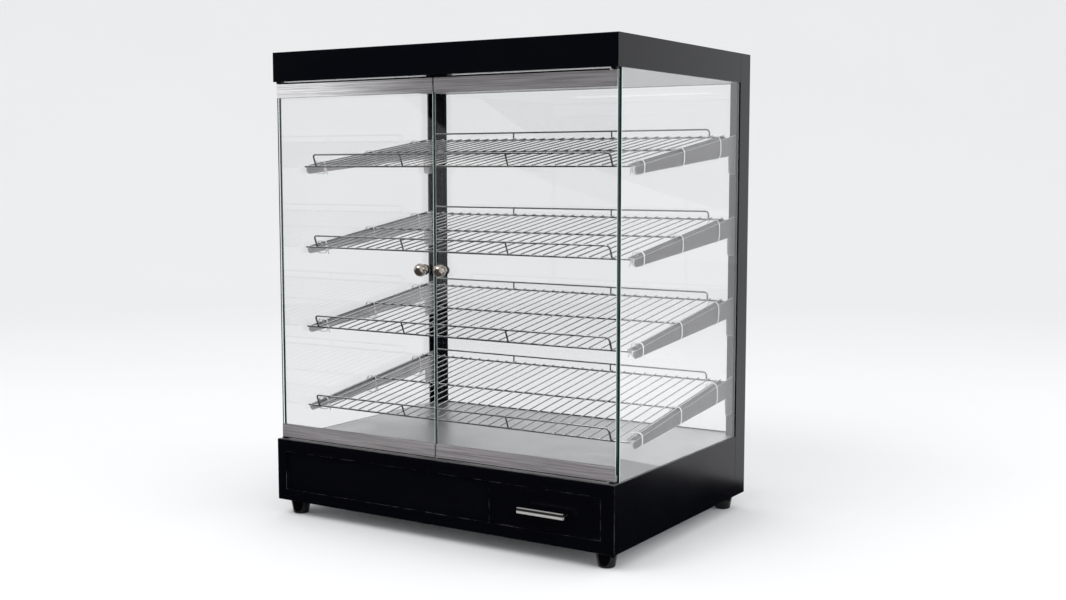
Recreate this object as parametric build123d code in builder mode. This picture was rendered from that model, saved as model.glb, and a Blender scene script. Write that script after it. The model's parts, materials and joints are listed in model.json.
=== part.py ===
from build123d import *

import os
from math import cos, radians, sin, sqrt, tan

# Hot food display case: a heated base with a drawer, a glazed display with four sloping
# wire shelves on cantilever brackets, two pivoting glass doors and a lit cap.
#
# Millimetres. +X is to the right seen from the front, +Y to the back, +Z up. The origin is on
# the surface that the case stands on, under the middle of its overall width and depth.

# ---- Driving dimensions ----
WIDTH = 660
DEPTH = 470  # cap front to the back of the rear posts
HEIGHT = 787
FOOT_H = 26
BASE_H = 105
CAP_H = 49
BASE_PROUD = 5  # the base front stands this far in front of the cap front
HANDLE_PROUD = 20  # the drawer handle stands this far in front of the base front
SHEET = 1.2  # painted sheet steel
DECK_T = 1.0  # stainless sheet
GLASS_T = 5
POST_W = 22
POST_D = 39
POST_WALL = 1.5
SEAM = 0.8  # joint between the posts and the sheets beside them

# ---- Planes that several pieces share ----
HALF = WIDTH / 2
FRONT = BASE_PROUD + HANDLE_PROUD - (DEPTH + BASE_PROUD + HANDLE_PROUD) / 2
BASE_FRONT = FRONT - BASE_PROUD
BACK = FRONT + DEPTH
POST_FRONT = BACK - POST_D
POST_INNER = HALF - POST_W
SIDE_BACK = POST_FRONT - SEAM
SIDE_INNER = HALF - SHEET
BASE_TOP = FOOT_H + BASE_H
DECK_TOP = BASE_TOP + 0.6
CAP_BOTTOM = HEIGHT - CAP_H

# ---- Glazing ----
SIDE_GLASS_OUT = SIDE_INNER - 0.3
SIDE_GLASS_IN = SIDE_GLASS_OUT - GLASS_T
SIDE_GLASS_FRONT = FRONT + 14
REAR_GLASS_Y = FRONT + 455
GLASS_LEDGE_Z = BASE_TOP - 10.8  # top of the ledges that the side panes stand on
REAR_LEDGE_Z = BASE_TOP - 1.8
GLASS_TOP_Z = CAP_BOTTOM + 14

# ---- Doors ----
DOOR_Y = FRONT + 7.5  # middle of the door glass, and the pivot line
DOOR_GAP = 1.5  # from the centre line to each door
DOOR_EDGE_X = 326.5
RAIL_END_X = 325.5
RAIL_T = 8
RAIL_BOTTOM_Z = BASE_TOP + 3.2
BOTTOM_RAIL_H = 22
TOP_RAIL_H = 23
RAIL_TOP_Z = CAP_BOTTOM - 4
GLASS_IN_RAIL = 12
PIVOT_X = 321
PIN_R = 3.0
PIN_CLEARANCE = 0.05
PIN_IN_RAIL = 8
PIVOT_PLATE_W = 9
KNOB_X = 18.7
KNOB_Z = FOOT_H + 408.2
KNOB_R = 10.3

# ---- Shelves ----
SHELF_COUNT = 4
SHELF_PITCH = 138
SHELF_FRONT_Y = FRONT + 62
SHELF_FRONT_Z = FOOT_H + 156.8  # axis of the lowest shelf's front wire
SHELF_SLOPE = 8.4  # degrees, rising to the back
SHELF_DEPTH = 334.6  # front wire to rear wire, along the slope
SHELF_HALF = 315
FRAME_WIRE_R = 1.6
LONG_WIRE_R = 1.1
LONG_WIRE_LIFT = FRAME_WIRE_R + LONG_WIRE_R - 0.4
WIRE_PITCH = 20.55
WIRE_COUNT = 31
WIRE_SHIFT = 4.3  # the row of long wires stands this far off centre
GUARD_R = 1.5
GUARD_BEND = 6
GUARD_POST_X = 103
SLOPE_TAN = tan(radians(SHELF_SLOPE))

# ---- Brackets ----
BRACKET_T = 1.5
BRACKET_X = 317.7  # middle of the bracket plate
FLANGE_W = 15
SLOT_PITCH = 23
SLOT_W = 2.2
SLOT_H = 12
HOOK_H = 8

# ---- Base front ----
FRAME_T = 1.5
BAY_LEFT, BAY_RIGHT = -311, 307
BAY_LOW, BAY_HIGH = FOOT_H + 19.5, FOOT_H + 85
DIVIDER_X = 107
DIVIDER_T = 1.6
BLANK_INSET = 4
DRAWER_GAP = 1
DRAWER_INSET = 1
DRAWER_DEPTH = 300
HANDLE_LENGTH = 81
HANDLE_CENTRES = 70
HANDLE_H = 9
HANDLE_T = 6
HANDLE_POST_R = 3
HANDLE_X = 212.5
HANDLE_Z = FOOT_H + 51.5

# ---- Rear control bay ----
PANEL_Y = FRONT + 445
DIAL_X = -215
SWITCH_X = -135
PILOT_X = -85
GLAND_X = 262
CONTROL_Z = FOOT_H + 52
ROCKER_TILT = 8

# ---- Feet ----
FOOT_X = 303
FOOT_HOLE_R = 2.75
FOOT_FRONT_Y = FRONT + 22
FOOT_REAR_Y = FRONT + 440


def block(a, b, mode=Mode.ADD):
    """A rectangular block between two opposite corners."""
    low = tuple(min(p, q) for p, q in zip(a, b))
    size = [abs(q - p) for p, q in zip(a, b)]
    with Locations(low):
        Box(*size, align=(Align.MIN, Align.MIN, Align.MIN), mode=mode)


def rod(start, end, radius, mode=Mode.ADD):
    """A round bar between two points."""
    a, b = Vector(start), Vector(end)
    with BuildSketch(Plane(origin=a, z_dir=b - a)) as section:
        Circle(radius)
    extrude(section.sketch, amount=(b - a).length, mode=mode)


def bent_wire(points, radius, bend):
    """A round wire along straight runs joined by bends."""
    with BuildLine() as path:
        FilletPolyline(*points, radius=bend)
    with BuildSketch(Plane(origin=path.line @ 0, z_dir=path.line % 0)) as section:
        Circle(radius)
    sweep(section.sketch, path=path.line)


def save(part, name):
    """Labels a finished piece and writes it as one STEP file."""
    part.label = name
    export_step(part, f"parts/{name}.step")


os.makedirs("parts", exist_ok=True)

# ======================================================================================
# Base
# ======================================================================================

PAN_FRONT = BASE_FRONT + FRAME_T + 0.1
PAN_BACK = BACK - SHEET
PAN_HALF = SIDE_INNER - 0.1
PAN_LIP = 10

with BuildPart() as base_pan:
    block((-PAN_HALF, PAN_FRONT, FOOT_H), (PAN_HALF, SIDE_BACK, FOOT_H + SHEET))
    rear_half = POST_INNER - SEAM
    block((-rear_half, SIDE_BACK, FOOT_H), (rear_half, PAN_BACK, FOOT_H + SHEET))
    for side in (-1, 1):
        inner = side * (PAN_HALF - SHEET)
        lip_top = FOOT_H + PAN_LIP
        block((inner, PAN_FRONT, FOOT_H), (side * PAN_HALF, SIDE_BACK, lip_top))
    with Locations((0, (FOOT_FRONT_Y + FOOT_REAR_Y) / 2, FOOT_H)):
        with GridLocations(2 * FOOT_X, FOOT_REAR_Y - FOOT_FRONT_Y, 2, 2):
            Hole(FOOT_HOLE_R)
    # cooling slots under the wiring space
    with BuildSketch(Plane.XY.offset(FOOT_H)):
        with Locations((-150, POST_FRONT - 40)):
            with GridLocations(12, 0, 12, 1):
                SlotOverall(40, 4, rotation=90)
    extrude(amount=SHEET, mode=Mode.SUBTRACT)
save(base_pan.part, "base_pan")


def base_side(side):
    """Side sheet of the base, with the ledge that the side pane stands on."""
    with BuildPart() as sheet:
        outer, inner = side * HALF, side * SIDE_INNER
        front = BASE_FRONT + FRAME_T + 0.05
        block((inner, front, FOOT_H), (outer, SIDE_BACK, BASE_TOP))
        ledge_in = inner - side * 12
        block((ledge_in, front + 4, GLASS_LEDGE_Z - SHEET), (inner, SIDE_BACK, GLASS_LEDGE_Z))
    return sheet.part


save(base_side(-1), "base_side_left")
save(base_side(1), "base_side_right")

# The front sheet has one wide bay; a divider splits it into the blank panel and the drawer.
with BuildPart() as front_frame:
    face_back = BASE_FRONT + FRAME_T
    panel_face = BASE_FRONT + BLANK_INSET
    with BuildSketch(Plane.XZ.offset(-face_back)):
        with Locations((0, (FOOT_H + BASE_TOP) / 2)):
            Rectangle(WIDTH, BASE_H)
        with Locations(((BAY_LEFT + BAY_RIGHT) / 2, (BAY_LOW + BAY_HIGH) / 2)):
            Rectangle(BAY_RIGHT - BAY_LEFT, BAY_HIGH - BAY_LOW, mode=Mode.SUBTRACT)
    extrude(amount=FRAME_T)
    outer_edges = front_frame.faces().sort_by(Axis.Y)[0].outer_wire().edges()
    fillet(outer_edges, 0.6)
    # folded edges of the bay, which the blank panel lies against
    left_flange = BAY_LEFT - SHEET
    block((left_flange, face_back, BAY_LOW - SHEET), (DIVIDER_X, panel_face, BAY_LOW))
    block((left_flange, face_back, BAY_HIGH), (DIVIDER_X, panel_face, BAY_HIGH + SHEET))
    block((left_flange, face_back, BAY_LOW - SHEET), (BAY_LEFT, panel_face, BAY_HIGH + SHEET))
    divider_top = BAY_HIGH + 7
    divider_end = DIVIDER_X + DIVIDER_T
    block((DIVIDER_X, face_back, BAY_LOW - 7), (divider_end, FRONT + 12, divider_top))
save(front_frame.part, "front_frame")

with BuildPart() as blank_panel:
    panel_low, panel_high = BAY_LOW - 6, BAY_HIGH + 6
    block((BAY_LEFT - 6, panel_face, panel_low), (DIVIDER_X - 0.2, panel_face + SHEET, panel_high))
save(blank_panel.part, "blank_panel")

DECK_FRONT = BASE_FRONT + FRAME_T + 0.1
DECK_HALF = SIDE_GLASS_IN - 0.6
DECK_LOW = DECK_TOP - DECK_T
DECK_REAR = REAR_GLASS_Y - 0.5
STRIP_BACK = SIDE_GLASS_FRONT - 0.6
DECK_LIP = 9

# The deck is the heated floor; its front strip runs out under the doors to the base front.
with BuildPart() as deck:
    with BuildSketch(Plane.XY.offset(DECK_LOW)):
        with BuildLine():
            Polyline(
                (0, DECK_FRONT),
                (SIDE_INNER - 0.1, DECK_FRONT),
                (SIDE_INNER - 0.1, STRIP_BACK),
                (DECK_HALF, STRIP_BACK),
                (DECK_HALF, SIDE_BACK),
                (POST_INNER - SEAM, SIDE_BACK),
                (POST_INNER - SEAM, DECK_REAR),
                (0, DECK_REAR),
                close=True,
            )
        make_face()
        mirror(about=Plane.YZ)
    extrude(amount=DECK_T)
    for side in (-1, 1):
        lip_in = side * (DECK_HALF - DECK_T)
        block((lip_in, STRIP_BACK, DECK_LOW - DECK_LIP), (side * DECK_HALF, SIDE_BACK, DECK_LOW))
save(deck.part, "deck")

# Rear panel of the base: it closes the wiring space.
PANEL_HALF = POST_INNER - SEAM
PANEL_LOW = FOOT_H + SHEET
SILL_LOW = REAR_LEDGE_Z - SHEET
SILL_BACK = BACK - 2
SILL_FLANGE = 5
SILL_STOP = 2.2

with BuildPart() as rear_service_panel:
    panel_back = PANEL_Y + SHEET
    block((-PANEL_HALF, PANEL_Y, PANEL_LOW), (PANEL_HALF, panel_back, SILL_LOW))
    with BuildSketch(Plane.XZ.offset(-PANEL_Y)):
        with Locations((DIAL_X, CONTROL_Z)):
            Circle(4)
        with Locations((SWITCH_X, CONTROL_Z)):
            Rectangle(27.2, 18.2)
        with Locations((PILOT_X, CONTROL_Z)):
            Circle(5.1)
        with Locations((GLAND_X, CONTROL_Z)):
            Circle(8.1)
        with Locations((110, CONTROL_Z + 2)):
            with GridLocations(0, 9, 1, 6):
                SlotOverall(90, 3.5)
    extrude(amount=-SHEET - 0.01, mode=Mode.SUBTRACT)
save(rear_service_panel.part, "rear_service_panel")

# Sill over the rear panel: it carries the rear pane and roofs the control recess.
with BuildPart() as rear_sill:
    block((-PANEL_HALF, PANEL_Y, SILL_LOW), (PANEL_HALF, SILL_BACK, REAR_LEDGE_Z))
    stop_y = REAR_GLASS_Y + GLASS_T + 0.4
    stop_z = REAR_LEDGE_Z + SILL_STOP
    block((-PANEL_HALF, stop_y, REAR_LEDGE_Z), (PANEL_HALF, stop_y + SHEET, stop_z))
    flange_y = SILL_BACK - SHEET
    block((-PANEL_HALF, flange_y, SILL_LOW - SILL_FLANGE), (PANEL_HALF, SILL_BACK, SILL_LOW))
save(rear_sill.part, "rear_sill")


def foot(x, y):
    """Moulded foot: a tapered round block with a recess for its screw."""
    with BuildPart() as piece:
        with BuildSketch(Plane.XZ.offset(-y)):
            with BuildLine():
                Polyline((x, 0), (x + 12, 0), (x + 13.4, 1.6), (x + 17.2, 22.6))
                Line((x + 17.2, 22.6), (x + 18, FOOT_H))
                Polyline((x + 18, FOOT_H), (x, FOOT_H), (x, 0))
            make_face()
        revolve(axis=Axis((x, y, 0), (0, 0, 1)))
        rod((x, y, 0), (x, y, 9), 6, mode=Mode.SUBTRACT)
        rod((x, y, 8), (x, y, FOOT_H), FOOT_HOLE_R, mode=Mode.SUBTRACT)
    return piece.part


with BuildPart() as feet:
    for x in (-FOOT_X, FOOT_X):
        for y in (FOOT_FRONT_Y, FOOT_REAR_Y):
            add(foot(x, y))
save(feet.part, "feet")

with BuildPart() as foot_screws:
    for x in (-FOOT_X, FOOT_X):
        for y in (FOOT_FRONT_Y, FOOT_REAR_Y):
            rod((x, y, 5.5), (x, y, 8.9), 4.5)
            rod((x, y, 8.9), (x, y, FOOT_H + 7), 2.5)
            with BuildSketch(Plane.XY.offset(FOOT_H + SHEET)):
                with Locations((x, y)):
                    RegularPolygon(4.5, 6)
            extrude(amount=4)
save(foot_screws.part, "foot_screws")

# ======================================================================================
# Rear posts and cap
# ======================================================================================

SLOT_FIRST_Z = SHELF_FRONT_Z - 6 - SLOT_PITCH
SLOT_COUNT = 25


def rear_post(side):
    """Folded steel post with a groove for the rear pane and slots for the shelf brackets."""
    with BuildPart() as post:
        middle = side * (HALF - POST_W / 2)
        post_y = POST_FRONT + POST_D / 2
        groove_x = side * (POST_INNER + 2.6)
        groove_y = REAR_GLASS_Y + GLASS_T / 2
        with BuildSketch(Plane.XY.offset(FOOT_H)):
            with Locations((middle, post_y)):
                Rectangle(POST_W, POST_D)
        extrude(amount=HEIGHT - FOOT_H)
        with BuildSketch(Plane.XY.offset(REAR_LEDGE_Z - 1)):
            with Locations((groove_x, groove_y)):
                Rectangle(5.4, GLASS_T + 0.8)
        extrude(amount=GLASS_TOP_Z - REAR_LEDGE_Z + 2, mode=Mode.SUBTRACT)
        with BuildSketch(Plane.XY.offset(FOOT_H + SHEET)):
            with Locations((middle, post_y)):
                Rectangle(POST_W - 2 * POST_WALL, POST_D - 2 * POST_WALL)
            with Locations((groove_x, groove_y)):
                groove_walls = GLASS_T + 0.8 + 2 * POST_WALL
                Rectangle(5.4 + 2 * POST_WALL, groove_walls, mode=Mode.SUBTRACT)
        extrude(amount=HEIGHT - FOOT_H - 2 * SHEET, mode=Mode.SUBTRACT)
        for k in range(SLOT_COUNT):
            z = SLOT_FIRST_Z + k * SLOT_PITCH
            slot_in, slot_out = side * (BRACKET_X - SLOT_W / 2), side * (BRACKET_X + SLOT_W / 2)
            slot_low, slot_high = z - SLOT_H / 2, z + SLOT_H / 2
            slot_end = POST_FRONT + POST_WALL
            block((slot_in, POST_FRONT, slot_low), (slot_out, slot_end, slot_high), Mode.SUBTRACT)
    return post.part


save(rear_post(-1), "rear_post_left")
save(rear_post(1), "rear_post_right")

RETURN_BACK = SIDE_GLASS_FRONT - 0.5
CAP_REAR_HALF = POST_INNER - SEAM

with BuildPart() as cap_shell:
    with BuildSketch(Plane.XY.offset(HEIGHT - SHEET)):
        with BuildLine():
            Polyline(
                (0, FRONT),
                (HALF, FRONT),
                (HALF, SIDE_BACK),
                (CAP_REAR_HALF, SIDE_BACK),
                (CAP_REAR_HALF, BACK),
                (0, BACK),
                close=True,
            )
        make_face()
        mirror(about=Plane.YZ)
    extrude(amount=SHEET)
    block((-HALF, FRONT, CAP_BOTTOM), (HALF, FRONT + SHEET, HEIGHT))
    block((-SIDE_INNER, FRONT, CAP_BOTTOM), (SIDE_INNER, RETURN_BACK, CAP_BOTTOM + SHEET))
    for side in (-1, 1):
        block((side * SIDE_INNER, FRONT, CAP_BOTTOM), (side * HALF, SIDE_BACK, HEIGHT))
    block((-CAP_REAR_HALF, BACK - SHEET, CAP_BOTTOM), (CAP_REAR_HALF, BACK, HEIGHT))
    rear_return = REAR_GLASS_Y + GLASS_T + 0.5
    block((-CAP_REAR_HALF, rear_return, CAP_BOTTOM), (CAP_REAR_HALF, BACK, CAP_BOTTOM + SHEET))
    top_edges = cap_shell.faces().sort_by(Axis.Z)[-1].outer_wire().edges().filter_by(Axis.X)
    fillet(top_edges.sort_by(Axis.Y)[0], 0.9)
save(cap_shell.part, "cap_shell")

CEILING_LOW = CAP_BOTTOM + 0.4
CEILING_T = 1.0
CEILING_LIP = 12
LAMP_Y = FRONT + 215
LENS_X, LENS_Y = 300, 60

with BuildPart() as ceiling_panel:
    ceiling_front = SIDE_GLASS_FRONT
    with BuildSketch(Plane.XY.offset(CEILING_LOW)):
        with BuildLine():
            Polyline(
                (0, ceiling_front),
                (DECK_HALF, ceiling_front),
                (DECK_HALF, SIDE_BACK),
                (CAP_REAR_HALF, SIDE_BACK),
                (CAP_REAR_HALF, DECK_REAR),
                (0, DECK_REAR),
                close=True,
            )
        make_face()
        mirror(about=Plane.YZ)
        with Locations((0, LAMP_Y)):
            Rectangle(LENS_X, LENS_Y, mode=Mode.SUBTRACT)
    extrude(amount=CEILING_T)
    lip_top = CEILING_LOW + CEILING_LIP
    for side in (-1, 1):
        lip_in = side * (DECK_HALF - CEILING_T)
        block((lip_in, ceiling_front, CEILING_LOW), (side * DECK_HALF, SIDE_BACK, lip_top))
    rear_lip = DECK_REAR - CEILING_T
    block((-CAP_REAR_HALF, rear_lip, CEILING_LOW), (CAP_REAR_HALF, DECK_REAR, lip_top))
save(ceiling_panel.part, "ceiling_panel")

with BuildPart() as lamp_lens:
    lens_seat = CEILING_LOW + CEILING_T
    with BuildSketch(Plane.XY.offset(CEILING_LOW)):
        with Locations((0, LAMP_Y)):
            RectangleRounded(LENS_X - 0.8, LENS_Y - 0.8, 3)
    extrude(amount=CEILING_T)
    with BuildSketch(Plane.XY.offset(lens_seat)):
        with Locations((0, LAMP_Y)):
            RectangleRounded(LENS_X + 14, LENS_Y + 14, 4)
    extrude(amount=2)
save(lamp_lens.part, "lamp_lens")

LAMP_Z = CAP_BOTTOM + 24
LAMP_HALF = 144

with BuildPart() as lamp_tube:
    rod((-LAMP_HALF, LAMP_Y, LAMP_Z), (LAMP_HALF, LAMP_Y, LAMP_Z), 8)
    fillet(lamp_tube.edges().filter_by(GeomType.CIRCLE), 2)
    for side in (-1, 1):
        for dy in (-2.4, 2.4):
            pin_y = LAMP_Y + dy
            end_x = side * (LAMP_HALF + 6)
            rod((side * (LAMP_HALF - 1), pin_y, LAMP_Z), (end_x, pin_y, LAMP_Z), 1.2)
save(lamp_tube.part, "lamp_tube")

with BuildPart() as lamp_holders:
    for side in (-1, 1):
        near, far = side * (LAMP_HALF + 0.5), side * (LAMP_HALF + 12)
        block((near, LAMP_Y - 11, LAMP_Z - 11), (far, LAMP_Y + 11, HEIGHT - SHEET))
        for dy in (-2.4, 2.4):
            start = (side * LAMP_HALF, LAMP_Y + dy, LAMP_Z)
            end = (side * (LAMP_HALF + 6.5), LAMP_Y + dy, LAMP_Z)
            rod(start, end, 1.4, mode=Mode.SUBTRACT)
save(lamp_holders.part, "lamp_holders")

# ======================================================================================
# Glass panes
# ======================================================================================


def side_glass(side):
    """Fixed side pane, standing on the base ledge and running up inside the cap."""
    with BuildPart() as pane:
        low = (side * SIDE_GLASS_IN, SIDE_GLASS_FRONT, GLASS_LEDGE_Z)
        high = (side * SIDE_GLASS_OUT, POST_FRONT - 0.6, GLASS_TOP_Z)
        block(low, high)
        chamfer(pane.edges().filter_by(Axis.Z), 0.5)
    return pane.part


save(side_glass(-1), "side_glass_left")
save(side_glass(1), "side_glass_right")

with BuildPart() as rear_glass:
    rear_half = POST_INNER + 4.6
    low = (-rear_half, REAR_GLASS_Y, REAR_LEDGE_Z)
    block(low, (rear_half, REAR_GLASS_Y + GLASS_T, GLASS_TOP_Z))
    chamfer(rear_glass.edges().filter_by(Axis.Z), 0.5)
save(rear_glass.part, "rear_glass")

# ======================================================================================
# Shelves, brackets and their ties
# ======================================================================================


def shelf_plane(level):
    """The sloping plane through the axes of a shelf's frame wires, from its front wire."""
    tilt = radians(SHELF_SLOPE)
    origin = (0, SHELF_FRONT_Y, SHELF_FRONT_Z + level * SHELF_PITCH)
    return Plane(origin=origin, x_dir=(1, 0, 0), z_dir=(0, -sin(tilt), cos(tilt)))


def guard(foot_u, rail_u, rail_w, half, posts):
    """Fence wire over one edge of a shelf: a rail with bent ends and short posts between."""
    rail = (rail_u, rail_w)
    ends = [(-half, foot_u, 0), (-half, *rail), (half, *rail), (half, foot_u, 0)]
    bent_wire(ends, GUARD_R, GUARD_BEND)
    for x in posts:
        rod((x, foot_u, 0), (x, *rail), GUARD_R - 0.1)


def frame_wires():
    """The three wires across a shelf: front, middle and rear."""
    for u in (0, 0.5 * SHELF_DEPTH + 8, SHELF_DEPTH):
        rod((-SHELF_HALF, u, 0), (SHELF_HALF, u, 0), FRAME_WIRE_R)


def shelf_grid():
    """The welded grid of one shelf, flat, with its front frame wire along the X axis."""
    with BuildPart() as grid:
        frame_wires()
        with BuildSketch(Plane.XZ.offset(1)):
            with Locations((WIRE_SHIFT, LONG_WIRE_LIFT)):
                with GridLocations(WIRE_PITCH, 0, WIRE_COUNT, 1):
                    Circle(LONG_WIRE_R)
        extrude(amount=-(SHELF_DEPTH + 4))
    return grid.part


def shelf_guards():
    """Front and rear guard of one flat shelf, with their feet cut to the frame wires."""
    with BuildPart() as frame:
        frame_wires()
    posts = (-GUARD_POST_X, GUARD_POST_X)
    with BuildPart() as guards:
        guard(-1, -6.5, 21.3, 289, posts)
        guard(SHELF_DEPTH + 1, SHELF_DEPTH + 3.5, 13, 287, posts)
        add(frame.part, mode=Mode.SUBTRACT)
    return guards.part


flat_grid = shelf_grid()
flat_guards = shelf_guards()
for level in range(SHELF_COUNT):
    place = shelf_plane(level).location
    save(place * flat_grid, f"wire_shelf_{level + 1}")
    save(place * flat_guards, f"shelf_guards_{level + 1}")


def plate_top(y, level):
    """Height of a bracket's upper edge at a place behind the cap's front face."""
    rise = (y - (SHELF_FRONT_Y - FRONT)) * SLOPE_TAN
    drop = (FRAME_WIRE_R + 0.1) / cos(radians(SHELF_SLOPE))
    return SHELF_FRONT_Z + level * SHELF_PITCH + rise - drop


def plate_low(y, level):
    """Height of a bracket's lower edge: the arm gets deeper towards the back."""
    return SHELF_FRONT_Z + level * SHELF_PITCH - 12 + 0.089 * (y - 80)


NOSE_Y = 69
ARM_LOW_Y = 80
TAB_Y = 405
TAB_LOW = -13
POST_AT = POST_FRONT - FRONT
HOOK_HEIGHTS = (-6, 40)
STOP_W = 4


def bracket(side, level):
    """Cantilever arm of bent sheet: a tapered plate, a top flange and two hooks in the post."""
    zero = SHELF_FRONT_Z + level * SHELF_PITCH
    with BuildPart() as arm:
        start = side * BRACKET_X - BRACKET_T / 2
        with BuildSketch(Plane.YZ.offset(start)):
            with BuildLine():
                nose_top = (FRONT + NOSE_Y, plate_top(NOSE_Y, level))
                nose_low = (FRONT + ARM_LOW_Y, plate_low(ARM_LOW_Y, level))
                Line((FRONT + POST_AT, plate_top(POST_AT, level)), nose_top)
                nose_tip = (FRONT + NOSE_Y + 0.6, nose_top[1] - 7.5)
                ThreePointArc(nose_top, nose_tip, nose_low)
                tab_corner = (FRONT + TAB_Y, plate_low(TAB_Y, level))
                Line(nose_low, tab_corner)
                Line(tab_corner, (FRONT + TAB_Y + 1.5, zero + TAB_LOW + 4))
                Line((FRONT + TAB_Y + 1.5, zero + TAB_LOW + 4), (FRONT + TAB_Y + 5, zero + TAB_LOW))
                Line((FRONT + TAB_Y + 5, zero + TAB_LOW), (FRONT + POST_AT, zero + TAB_LOW))
                top_corner = (FRONT + POST_AT, plate_top(POST_AT, level))
                Line((FRONT + POST_AT, zero + TAB_LOW), top_corner)
            make_face()
        extrude(amount=BRACKET_T)
        # flange that the shelf rests on, turned inwards
        inner_face = side * (BRACKET_X - BRACKET_T / 2)
        with BuildSketch(Plane.YZ.offset(inner_face)):
            with BuildLine():
                front_top = (FRONT + 78, plate_top(78, level))
                rear_top = (FRONT + 402, plate_top(402, level))
                rear_low = (rear_top[0], rear_top[1] - BRACKET_T)
                front_low = (front_top[0], front_top[1] - BRACKET_T)
                Polyline(front_top, rear_top, rear_low, front_low, close=True)
            make_face()
        extrude(amount=-side * FLANGE_W)
        # small stop that keeps the shelf from sliding forwards
        stop_x = side * (BRACKET_X - 7.2)
        stop_in = stop_x - side * STOP_W
        stop_low = plate_top(94, level) - 0.5
        block((stop_x, FRONT + 94, stop_low), (stop_in, FRONT + 95.5, stop_low + 6))
        for height in HOOK_HEIGHTS:
            hook_z = zero + height
            face_a = side * (BRACKET_X - BRACKET_T / 2)
            face_b = side * (BRACKET_X + BRACKET_T / 2)
            block((face_a, POST_FRONT, hook_z - 2), (face_b, POST_FRONT + 5, hook_z + 4))
            drop_y = POST_FRONT + POST_WALL + 0.4
            block((face_a, drop_y, hook_z - 5.5), (face_b, POST_FRONT + 5, hook_z))
    return arm.part


for level in range(SHELF_COUNT):
    with BuildPart() as bracket_pair:
        add(bracket(-1, level))
        add(bracket(1, level))
    save(bracket_pair.part, f"shelf_brackets_{level + 1}")

TIE_T = 1.1
TIE_W = 2.6
TIE_PLACES = (96, 229, 366)

# Nylon ties that hold each shelf down on its brackets for transport.
with BuildPart() as shelf_ties:
    for level in range(SHELF_COUNT):
        for y in TIE_PLACES:
            wires_top = plate_top(y, level) + 2 * FRAME_WIRE_R + 2 * LONG_WIRE_R + 0.6
            tie_low = plate_low(y, level) - 1
            tie_h = wires_top - tie_low
            for side in (-1, 1):
                tie_in, tie_out = BRACKET_X - 19.4, BRACKET_X + 1.8
                tie_x = side * (tie_in + tie_out) / 2
                with BuildSketch(Plane.XZ.offset(-(FRONT + y + TIE_W / 2))):
                    with Locations((tie_x, (wires_top + tie_low) / 2)):
                        outer_w = tie_out - tie_in + 2 * TIE_T
                        RectangleRounded(outer_w, tie_h + 2 * TIE_T, 4)
                        RectangleRounded(tie_out - tie_in, tie_h, 2.9, mode=Mode.SUBTRACT)
                extrude(amount=TIE_W)
save(shelf_ties.part, "shelf_ties")

# ======================================================================================
# Doors, their pivots and the catch
# ======================================================================================


def door_glass(side):
    """Frameless door pane with a hole for the knob's screw."""
    with BuildPart() as pane:
        low = (side * DOOR_GAP, DOOR_Y - GLASS_T / 2, RAIL_BOTTOM_Z + BOTTOM_RAIL_H - GLASS_IN_RAIL)
        high = (side * DOOR_EDGE_X, DOOR_Y + GLASS_T / 2, RAIL_TOP_Z - TOP_RAIL_H + GLASS_IN_RAIL)
        block(low, high)
        chamfer(pane.edges().filter_by(Axis.Z), 0.4)
        knob_x = side * KNOB_X
        rod((knob_x, DOOR_Y - 5, KNOB_Z), (knob_x, DOOR_Y + 5, KNOB_Z), 4, mode=Mode.SUBTRACT)
    return pane.part


def door_rail(side, low_z, high_z, slot_low, slot_high, hole_low, hole_high):
    """Folded stainless rail that grips one end of a door pane and holds a pivot."""
    with BuildPart() as rail:
        front_y, back_y = DOOR_Y - RAIL_T / 2, DOOR_Y + RAIL_T / 2
        block((side * DOOR_GAP, front_y, low_z), (side * RAIL_END_X, back_y, high_z))
        fillet(rail.edges().filter_by(Axis.X), 0.8)
        slot_half = GLASS_T / 2 + 0.05
        slot_out = side * (RAIL_END_X + 1)
        slot_in = side * (DOOR_GAP - 1)
        slot_front, slot_back = DOOR_Y - slot_half, DOOR_Y + slot_half
        block((slot_in, slot_front, slot_low), (slot_out, slot_back, slot_high), Mode.SUBTRACT)
        hole_x = side * PIVOT_X
        hole_r = PIN_R + PIN_CLEARANCE
        rod((hole_x, DOOR_Y, hole_low), (hole_x, DOOR_Y, hole_high), hole_r, Mode.SUBTRACT)
    return rail.part


def bottom_rail(side):
    """The rail under a door."""
    top = RAIL_BOTTOM_Z + BOTTOM_RAIL_H
    slot = (top - GLASS_IN_RAIL - 0.1, top + 1)
    hole = (RAIL_BOTTOM_Z - 1, RAIL_BOTTOM_Z + PIN_IN_RAIL + 0.8)
    return door_rail(side, RAIL_BOTTOM_Z, top, *slot, *hole)


def top_rail(side):
    """The rail over a door."""
    low = RAIL_TOP_Z - TOP_RAIL_H
    slot = (low - 1, low + GLASS_IN_RAIL + 0.1)
    hole = (RAIL_TOP_Z - PIN_IN_RAIL - 0.8, RAIL_TOP_Z + 1)
    return door_rail(side, low, RAIL_TOP_Z, *slot, *hole)


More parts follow.
